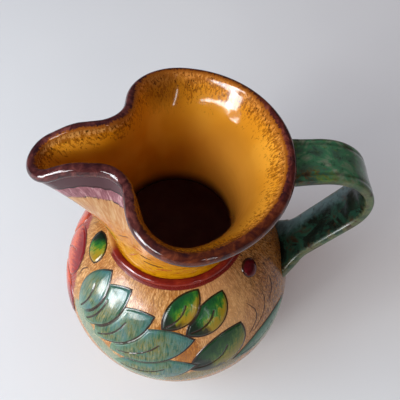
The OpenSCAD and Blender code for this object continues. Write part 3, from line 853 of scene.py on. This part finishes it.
def build_handle():
    a = full_turn(STRAP_POINTS)
    across = np.sign(np.cos(a)) * np.abs(np.cos(a)) ** STRAP_CORNER
    out = np.sign(np.sin(a)) * np.abs(np.sin(a)) ** STRAP_CORNER * STRAP_T / 2
    groove = np.exp(-((np.abs(across) - GROOVE_AT) / GROOVE_W) ** 2) * (np.sin(a) > 0)
    out -= np.where(np.sin(a) > 0, STRAP_DISH * (1 - across ** 2), 0) + GROOVE_D * groove

    def section(width, spread):
        return spread * across * width / 2, spread * out

    def spread_at(distance, full):
        return 1 + (full - 1) * max(0, 1 - distance / ROOT_SPREAD) ** 2

    def ring(center, angle, width, spread):
        y, lift = section(width, spread)
        return np.column_stack([center[0] + lift * cos(angle), y, center[1] + lift * sin(angle)])

    def neck_face(y, z):
        t = (z - SEAT_Z) / (NECK_H - RIM_H)
        w = np.power(np.maximum(0, t - COLLAR_SHARE) / (1 - COLLAR_SHARE), FLARE_POWER)
        r = (1 - w) * COLLAR_MID_R + w * (MOUTH_R - RIM_H * tan(LIP_LEAN))
        r = r + (NECK_WALL + t * (LIP_WALL - NECK_WALL)) / 2
        return w * MOUTH_SETBACK + np.sqrt(r ** 2 - y ** 2)

    strap_z = RIM_Z - RIM_H - SEAT_GAP - TOP_SPREAD * STRAP_T / 2
    bend = np.array([HANDLE_REACH - BEND_R, strap_z - BEND_R])
    root = BELLY_R * direction(ROOT_ANGLE) + [0, BELLY_Z]
    to_root = root - bend
    bend_end = atan2(to_root[1], to_root[0]) + acos(BEND_R / np.linalg.norm(to_root))
    radial = direction(bend_end)
    low_way = np.array([radial[1], -radial[0]])
    low_run = np.linalg.norm(root - bend - BEND_R * radial)
    top_start = float(neck_face(np.zeros(1), strap_z)[0])

    def end_on_neck(share):
        y, lift = section(STRAP_W, TOP_SPREAD)
        y, z = share * y, strap_z + share * lift
        return np.column_stack([neck_face(y, z) + SEAT_GAP, y, z])

    def end_on_belly(share):
        y, lift = section(STRAP_LOW_W, LOW_SPREAD)
        start = root - low_run * low_way + np.outer(share * lift, radial)
        p = np.column_stack([start[:, 0], share * y, start[:, 1] - BELLY_Z])
        way = np.array([low_way[0], 0, low_way[1]])
        ahead = -p @ way
        travel = ahead - np.sqrt(ahead ** 2 - (p * p).sum(axis=1) + (BELLY_R + SEAT_GAP) ** 2)
        return p + np.outer(travel, way) + [0, 0, BELLY_Z]

    top_run = bend[0] - top_start
    rings = [end_on_neck(share) for share in END_SHARES]
    rings += [ring((top_start + d, strap_z), pi / 2, STRAP_W, spread_at(d, TOP_SPREAD))
              for d in np.linspace(0, top_run, TOP_RINGS)[2:-1]]
    for share in np.linspace(0, 1, BEND_RINGS):
        angle = pi / 2 + (bend_end - pi / 2) * share
        width = STRAP_W + (STRAP_LOW_W - STRAP_W) * float(ease(0, 1, share))
        rings.append(ring(bend + BEND_R * direction(angle), angle, width, 1))
    rings += [ring(root - d * low_way, bend_end, STRAP_LOW_W, spread_at(d, LOW_SPREAD))
              for d in np.linspace(low_run, 0, LOW_RINGS)[1:-6]]
    rings += [end_on_belly(share) for share in END_SHARES[::-1]]
    rings = np.array(rings)
    middle = rings.mean(axis=1, keepdims=True)
    fade = np.ones(len(rings))
    fade[:END_RINGS], fade[-END_RINGS:] = 0, 0
    uneven = STRAP_DENT * dents(rings * 0.5)[..., None] * fade[:, None, None]
    rings = middle + (rings - middle) * (1 - uneven)
    faces = grid_faces(len(rings), STRAP_POINTS, False, True)
    last = (len(rings) - 1) * STRAP_POINTS
    caps = [range(STRAP_POINTS)[::-1], range(last, last + STRAP_POINTS)]
    fields = {
        "groove": groove,
        "across": across,
        "outer": ease(-0.2, 0.2, np.sin(a)),
        "run": np.linspace(0, 1, len(rings))[:, None],
    }
    make_piece("strap_handle", rings, [*faces, *caps], [HANDLE], ["handle_strap"], fields)


build_handle()


# Slip decoration on the belly. Rows: angle round, drop from the bead, turn, then length,
# left bulge and right bulge as shares of the belly's radius.
FRONT_TEAL = [
    (211.6, 21, 82, 0.57, 0.123, 0.129),
    (223.3, 22.5, 65, 0.66, 0.165, 0.131),
    (237.2, 27.2, 47, 0.67, 0.186, 0.119),
    (253.9, 33.3, 25, 0.76, 0.21, 0.145),
    (256, 47.5, 15, 0.72, 0.16, 0.17),
]
FRONT_GREEN = [
    (270.1, 10.3, 47, 0.433, 0.09, 0.131),
    (285.1, 14, 38, 0.453, 0.071, 0.178),
    (287.4, 35.9, 36, 0.6, 0.119, 0.25),
    (316.5, 47.6, 6, 0.72, 0.12, 0.12),
]
SHOULDER = [(191.2, 7.4, 148, 0.269, 0.091, 0.115)]
PETALS = 6
PETAL_GAP_SHARE = 0.06
BERRIES = {"front_berry": (327, 9.1), "back_berry": (16, 8.5)}
BERRY_HEIGHT_SHARE = 0.35


def mirrored(leaf):
    return (2 * FLOWER_ANGLE - leaf[0], leaf[1], 180 - leaf[2], leaf[3], leaf[5], leaf[4])


def on_belly(axes, a, b, height):
    """Places at a along and b across a decoration, at a height over the belly."""
    out = np.sqrt((BELLY_R + height) ** 2 - a ** 2 - b ** 2)
    return np.stack([out, a, b], axis=-1) @ axes.T + [0, 0, BELLY_Z]


def flat_on(axes, points):
    local = (points - [0, 0, BELLY_Z]) @ axes
    return local[..., 1], local[..., 2]


def arc_radius(chord, rise):
    return (chord ** 2 / 4 + rise ** 2) / (2 * rise)


def oval_edge(size, a, b):
    """Distance inside a pointed oval of the given length, left and right bulge."""
    length, left, right = size
    left_r, right_r = arc_radius(length, left), arc_radius(length, right)
    return np.minimum(left_r - np.hypot(a, b + left_r - left), right_r - np.hypot(a, b - right_r + right))


GROOVE_LINE = 0.75
SKIRT = -0.6
FOOT_RISE = 0.2
EDGE_SHARE, CROWN_SHARE = 0.48, 0.26
VEIN_DEPTH = 0.42
NO_VEIN = 9.0


def slip_height(edge, vein):
    """Height of thick slip: sunk outside, an incised border, a rounded edge and a soft crown."""
    rise = FOOT_RISE + EDGE_SHARE * RELIEF_H * ease(GROOVE_LINE, 1.9, edge)
    rise = rise + CROWN_SHARE * RELIEF_H * ease(1.5, 7.0, edge)
    rise = rise - VEIN_DEPTH * ease(0.75, 0.1, vein) * ease(GROOVE_LINE, 2.0, edge)
    return np.where(edge < 0, SKIRT + (FOOT_RISE - SKIRT) * ease(-0.4, 0.0, edge), rise)


def curve_distance(a, b, route):
    """Distance from a curve with the given start, pull and end."""
    t = np.linspace(0, 1, 60)[:, None]
    p, q, r = np.array(route, float)
    line = (1 - t) ** 2 * p + 2 * t * (1 - t) * q + t ** 2 * r
    return np.min(np.hypot(a[..., None] - line[:, 0], b[..., None] - line[:, 1]), axis=-1)


SLIP_STEP = 0.5
BORDER = 0.5
TRIM = -0.35


def slip_piece(name, look, axes, size, edge_at, vein_at, north, node, swap=False):
    """A raised slip shape on a pointed oval grid, trimmed just outside its edge."""
    length, left, right = size
    width = left + right
    rows = int(length / SLIP_STEP)
    columns = int(width / SLIP_STEP) + 8
    a = np.linspace(-length / 2 - BORDER, length / 2 + BORDER, rows)[:, None]
    halves = []
    for rise in (left, right):
        r = arc_radius(length, rise)
        halves.append(np.maximum(0, np.sqrt(np.maximum(0, r ** 2 - a ** 2)) - (r - rise)) + BORDER)
    v = np.sin(np.linspace(-pi / 2, pi / 2, columns)) * 0.5 + np.linspace(-1, 1, columns) * 0.5
    b = (v + 1) / 2 * (halves[0] + halves[1]) - halves[1]
    a = a + 0 * b
    edge = edge_at(a, b)
    vein = vein_at(a, b)
    points = on_belly(axes, a, b, slip_height(edge, vein))
    east = a * cos(north) - b * sin(north)
    up = a * sin(north) + b * cos(north)
    fields = {
        "edge": edge,
        "vein": vein,
        "along": 2 * a / length,
        "across": (2 * b - left + right) / width,
        "flat": np.stack([east, up, 0 * a], axis=-1),
    }
    if swap:
        fields["along"], fields["across"] = -fields["along"], fields["along"]
    faces = grid_faces(rows, columns, False, False)
    faces = faces[edge.ravel()[faces].max(axis=1) > TRIM]
    used, faces = np.unique(faces, return_inverse=True)
    faces = faces.reshape(-1, 4)[:, ::-1]
    fields = {field: values.reshape(edge.size, *values.shape[2:])[used] for field, values in fields.items()}
    make_piece(name, points.reshape(-1, 3)[used], faces, [look], [node], fields, closed=False)


LEAF_VEIN = ((-0.4, 0.0), (-0.1, -0.22), (0.14, 0.05))
LEAF_GAP = 0.2 * LINE_W
# Green leaves, by number, that aren't plain green
GREENS = {"3": DEEP, "4": PALE}


def no_vein(a, b):
    return np.full(a.shape, NO_VEIN)


def build_spray(side, rows):
    """The leaves of one side, each cut by those before it."""
    greens = len(rows) - len(FRONT_TEAL) - len(SHOULDER)
    names = [f"{side}_teal_leaf_{i + 1}" for i in range(len(FRONT_TEAL))]
    names += [f"{side}_green_leaf_{i + 1}" for i in range(greens)] + [f"{side}_shoulder_leaf"]
    flip = 1 if side == "front" else -1
    axes = [belly_axes(*row[:3]) for row in rows]
    sizes = [np.array(row[3:]) * BELLY_R for row in rows]
    for i, row in enumerate(rows):
        length, left, right = sizes[i]
        middle = (left - right) / 2
        width = left + right

        def edge_at(a, b, i=i):
            edge = oval_edge(sizes[i], a, b)
            points = on_belly(axes[i], a, b, 0)
            for j in range(i):
                over = oval_edge(sizes[j], *flat_on(axes[j], points))
                edge = np.minimum(edge, -over - LEAF_GAP)
            return edge

        route = [(x * length, y * flip * width + middle * (1 - 4 * x * x)) for x, y in LEAF_VEIN]

        def vein_at(a, b, route=route):
            return curve_distance(a, b, route)

        teal, shoulder = "teal" in names[i], "shoulder" in names[i]
        look = TEAL if teal else GREENS.get(names[i][-1], GREEN)
        slip_piece(names[i] + "_slip", look, axes[i], sizes[i],
                   edge_at, no_vein if shoulder else vein_at, radians(row[2]), names[i], shoulder)


build_spray("front", FRONT_TEAL + FRONT_GREEN + SHOULDER)
build_spray("back", [mirrored(row) for row in FRONT_TEAL + FRONT_GREEN[:3] + SHOULDER])


# Flower under the spout: six petals round a domed eye
def build_flower():
    start = EYE_R + PETAL_GAP_SHARE * PETAL_L + PETAL_L / 2
    tilt = atan2(start, sqrt(BELLY_R ** 2 - start ** 2))
    half = pi / PETALS
    oval = (PETAL_L, PETAL_W / 2, PETAL_W / 2)
    grid = (PETAL_L * 1.12, PETAL_W * 0.53, PETAL_W * 0.53)
    vein = [(start - 0.3 * PETAL_L, 0), (start, 0.06 * PETAL_W), (start + 0.2 * PETAL_L, 0)]
    for i in range(PETALS):
        axes = belly_axes(FLOWER_ANGLE, FLOWER_DROP, 360 * i / PETALS)
        shifted = axes @ turned(degrees(tilt), "z")

        def edge_at(a, b, axes=axes, shifted=shifted):
            along, across = flat_on(axes, on_belly(shifted, a, b, 0))
            sides = along * sin(half) - np.abs(across) * cos(half) - LINE_W / 2
            return np.minimum(oval_edge(oval, along - start, across), sides)

        def vein_at(a, b, axes=axes, shifted=shifted):
            return curve_distance(*flat_on(axes, on_belly(shifted, a, b, 0)), vein)

        name = f"petal_{i + 1}"
        slip_piece(name + "_slip", PETAL, shifted, grid, edge_at, vein_at, 0, name)
    axes = belly_axes(FLOWER_ANGLE, FLOWER_DROP, 0)

    def eye_edge(a, b):
        return EYE_R - np.hypot(a, b)

    def eye_ring(a, b):
        return np.abs(np.hypot(a, b) - 0.55 * EYE_R)

    size = (2 * EYE_R, EYE_R, EYE_R)
    slip_piece("flower_eye_slip", EYE, axes, size, eye_edge, eye_ring, 0, "flower_eye")


build_flower()


# Berries: low glossy domes
def build_berry(name, place):
    axes = belly_axes(*place, 0)
    dome = BERRY_HEIGHT_SHARE * BERRY_R
    rows, columns = 16, 48
    r = np.linspace(0.02, 1.04, rows)[:, None] * BERRY_R
    around = full_turn(columns)
    a, b = r * np.cos(around), r * np.sin(around)
    height = dome * np.sqrt(np.clip(1 - (r / BERRY_R) ** 2, 0, 1)) * 0.98 - 0.6 * (r > BERRY_R)
    points = on_belly(axes, a, b, height)
    faces = [*grid_faces(rows, columns, False, True), range(columns)]
    fields = {"edge": BERRY_R - r, "vein": NO_VEIN}
    make_piece(name + "_dome", points, faces, [BERRY], [name], fields, closed=False)


for name, place in BERRIES.items():
    build_berry(name, place)


# Incised tendrils on the belly: thin lines along angle and latitude
TENDRILS = {
    "tendril_1": [(311.1, 36.7), (314.1, 30.0), (313.4, 25.0), (309.9, 21.2), (306.4, 19.0)],
    "tendril_2": [(323.8, 34.3), (323.1, 29.9), (320.8, 25.7), (317.6, 22.6), (314.0, 20.5), (309.2, 18.0)],
    "tendril_3": [(334.0, 34.0), (331.4, 28.4), (325.3, 25.7)],
    "tendril_4": [(197.9, 33.2), (196.7, 35.9), (199.1, 40.1)],
}
for name, source in (("tendril_5", "tendril_1"), ("tendril_6", "tendril_4")):
    TENDRILS[name] = [(2 * FLOWER_ANGLE - angle, height) for angle, height in TENDRILS[source]]
TENDRIL_W, TENDRIL_STEPS = 0.8, 40


# Section of a drawn line: share across its width, and height over the surface
LINE_SECTION = ((-0.5, -0.25), (-0.4, 0.03), (0, 0.07), (0.4, 0.03), (0.5, -0.25))


def build_line(name, centers, normals, width, look):
    """A thin raised line on a surface, tapered at both ends."""
    sideways = unit(np.cross(np.gradient(centers, axis=0), normals))
    taper = np.sqrt(np.sin(np.linspace(0.02, pi - 0.02, len(centers))))[:, None]
    rows = [centers + sideways * across * width * taper + normals * lift for across, lift in LINE_SECTION]
    points = np.stack(rows, axis=1)
    faces = grid_faces(len(centers), len(LINE_SECTION), False, False)
    make_piece(name, points, faces, [look], closed=False)


for name, route in TENDRILS.items():
    angle, height = np.radians(smooth_route(route, TENDRIL_STEPS)).T
    normals = polar(np.cos(height), angle, np.sin(height))
    build_line(name, normals * BELLY_R + [0, 0, BELLY_Z], normals, TENDRIL_W, LINE)


# Short strokes on the front of the neck: share round the mouth and height share of both ends
NECK_STROKES = {
    "neck_line_1": ((0.8, 0.36), (0.735, 0.43), LINE),
    "neck_line_2": ((0.67, 0.326), (0.615, 0.349), LINE),
    "neck_line_3": ((0.66, 0.256), (0.565, 0.262), LINE),
    "neck_red_1": ((0.756, 0.163), (0.69, 0.3), RED_STROKE),
    "neck_red_2": ((0.715, 0.36), (0.655, 0.4), RED_STROKE),
    "neck_red_3": ((0.6, 0.2), (0.525, 0.235), RED_STROKE),
}
STROKE_W, STROKE_STEPS = 0.6, 24


def neck_place(share, up):
    """A place on the front of the neck's outer wall."""
    level = up * (NECK_LEVELS - 1)
    low = int(level)
    half = NECK_OUTER[low:low + 2, :len(HALF)]
    ring = half[0] + (half[1] - half[0]) * (level - low)
    return np.array([np.interp(share, HALF_SHARES, ring[:, axis]) for axis in range(3)]) * [1, -1, 1]


for name, (start, end, look) in NECK_STROKES.items():
    shares = np.linspace(start, end, STROKE_STEPS)
    centers = np.array([neck_place(*share) for share in shares])
    along = np.array([neck_place(share + 0.01, up) for share, up in shares]) - centers
    rising = np.array([neck_place(share, up + 0.02) for share, up in shares]) - centers
    normals = unit(np.cross(rising, along))
    normals *= np.sign(np.sum(normals * (centers - [0, 0, RIM_Z]), axis=1, keepdims=True))
    build_line(name, centers, normals, STROKE_W, look)

# Solids that keep their own shape take a full material
for node, look in (("neck_bead", BEAD), ("foot_ring", CLAY)):
    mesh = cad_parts[node].data
    mesh.materials.clear()
    mesh.materials.append(look)

# Floor, light and camera
HALF_FLOOR = 3.0
corners = [(x * HALF_FLOOR, y * HALF_FLOOR, 0) for x, y in ((-1, -1), (1, -1), (1, 1), (-1, 1))]
table = bpy.data.meshes.new("table_top")
table.from_pydata(corners, [], [(0, 1, 2, 3)])
table.materials.append(TABLE)
add_object("table_top", table)


def axes_matrix(right, up, back, place):
    """A transform with three directions and a place as its columns."""
    return Matrix([*zip(right, up, back, place), (0, 0, 0, 1)])


# Lamps in metres: place, height aimed at, width, height, watts, colour and, for one, tilt.
# Room lamps don't show in reflections, and glints show only there.
ROOM_LAMPS = {
    "room_left": ((-1.2, -0.15, 1.0), 0.12, 0.9, 0.9, 11.8, (0.74, 0.89, 1.0)),
    "front_fill": ((-0.62, -0.86, 0.78), 0.05, 0.5, 0.5, 4.6, (0.95, 1.0, 0.98)),
    "window": ((-1.106, -0.76, 0.568), 0.17, 0.55, 0.27, 11.4, (1.0, 0.99, 0.97)),
}
GLINTS = {
    "window_glint": ((-1.112, -0.75, 0.54), 0.19, 0.34, 0.27, 9.5, (0.92, 0.95, 1.0)),
    "side_glint": ((-0.76, -1.107, 0.55), 0.19, 0.2, 0.13, 2.2, (0.97, 0.98, 1.0)),
    "middle_glint": ((-0.915, -0.982, 0.5), 0.19, 0.3, 0.3, 8.5, (0.97, 0.98, 1.0)),
    "left_glint": ((-1.178, -0.549, 0.24), 0.12, 0.48, 0.36, 22.0, (0.93, 0.97, 1.0)),
    "pane_glint": ((-1.119, -0.558, 0.67), 0.12, 0.3, 0.28, 9.0, (0.92, 0.96, 1.0)),
    "door_glint": ((0.534, -1.258, 0.42), 0.17, 0.03, 0.66, 1.8, (0.97, 0.98, 1.0), radians(17.0)),
}


def add_light(name, place, aim, width, height, watts, colour, tilt=0.0, glossy=True, diffuse=True):
    data = bpy.data.lights.new(name, "AREA")
    data.shape = "RECTANGLE"
    data.size, data.size_y = width, height
    data.energy = watts
    data.color = colour
    light = add_object(name, data)
    light.visible_glossy = glossy
    light.visible_diffuse = diffuse
    back = unit(np.array(place) - (0, 0, aim))
    right = unit(np.cross((0, 0, 1), back))
    up = np.cross(back, right)
    c, s = direction(tilt)
    light.matrix_world = axes_matrix(c * right + s * up, c * up - s * right, back, place)


for lamp, settings in ROOM_LAMPS.items():
    add_light(lamp, *settings, glossy=False)
for lamp, settings in GLINTS.items():
    add_light(lamp, *settings, diffuse=False)

# Colours of the room: as light, as seen in the glaze, and behind the floor
ROOM_LIGHT = (0.37, 0.31, 0.3, 1)
ROOM_MIRRORED = (0.07, 0.06, 0.06, 1)
BACKDROP = (0.8, 0.81, 0.83, 1)

world = bpy.data.worlds.new("pale_room")
world.use_nodes = True
tree = world.node_tree
rays = new_node(tree, "LightPath", {}).outputs
shares = {0: rays["Is Glossy Ray"], 6: ROOM_LIGHT, 7: ROOM_MIRRORED}
room = new_node(tree, "Mix", shares, data_type="RGBA")
shares = {0: rays["Is Camera Ray"], 6: room.outputs[2], 7: BACKDROP}
seen = new_node(tree, "Mix", shares, data_type="RGBA")
put(tree, seen.outputs[2], tree.nodes["Background"].inputs["Color"])
bpy.context.scene.world = world

lens = bpy.data.cameras.new("photo_camera")
lens.lens = CAMERA_LENS
lens.sensor_width = CAMERA_SENSOR
camera = add_object("photo_camera", lens)
camera.matrix_world = axes_matrix(CAMERA_RIGHT, CAMERA_UP, CAMERA_BACK, CAMERA_PLACE)
bpy.context.scene.camera = camera
bpy.context.scene.view_settings.view_transform = "Standard"
